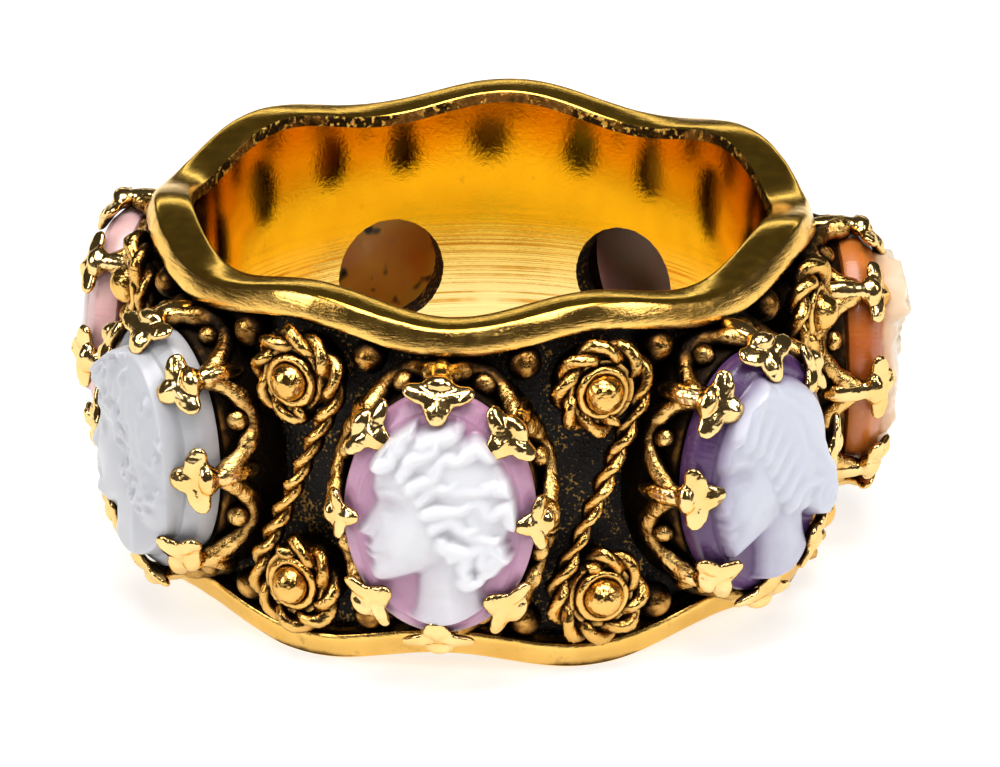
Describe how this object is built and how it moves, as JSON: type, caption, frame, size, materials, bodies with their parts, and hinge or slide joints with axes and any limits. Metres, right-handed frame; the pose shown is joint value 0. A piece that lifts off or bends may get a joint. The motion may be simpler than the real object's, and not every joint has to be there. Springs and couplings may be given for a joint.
{
  "type": "cameo ring",
  "caption": "Wide finger ring with wavy rims, oval carved cameos in openwork prong settings, and twisted rope scrolls with balls between them.",
  "frame": {"origin": "centre of the finger hollow: on the ring's axis, halfway up the band", "axes": "+Z along the ring's axis, upwards as it rests on a rim; the stone that faces the viewer in the picture is at -Y, and the others follow every 360/7 degrees towards +X"},
  "size_m": [0.0269, 0.0265, 0.0122],
  "materials": {
    "gold": "worn yellow gold, satin on the rims and inside, dark in the recesses",
    "mauve_shell": "polished mauve ground with a white carved relief",
    "violet_shell": "polished deep violet ground with a white carved relief",
    "orange_shell": "polished orange ground with a cream carved relief",
    "grey_shell": "polished grey-purple ground with a white carved relief",
    "ochre_shell": "polished ochre ground with dark spots and a white carved relief",
    "pink_shell": "polished pink ground with a low white carved relief",
    "white_shell": "worn white and pale grey carved relief over most of the stone"
  },
  "bodies": {
    "root": {"ring_body": "gold", "cameo_1": "mauve_shell", "cameo_2": "violet_shell", "cameo_3": "orange_shell", "cameo_4": "grey_shell", "cameo_5": "ochre_shell", "cameo_6": "pink_shell", "cameo_7": "white_shell"}
  },
  "joints": []
}
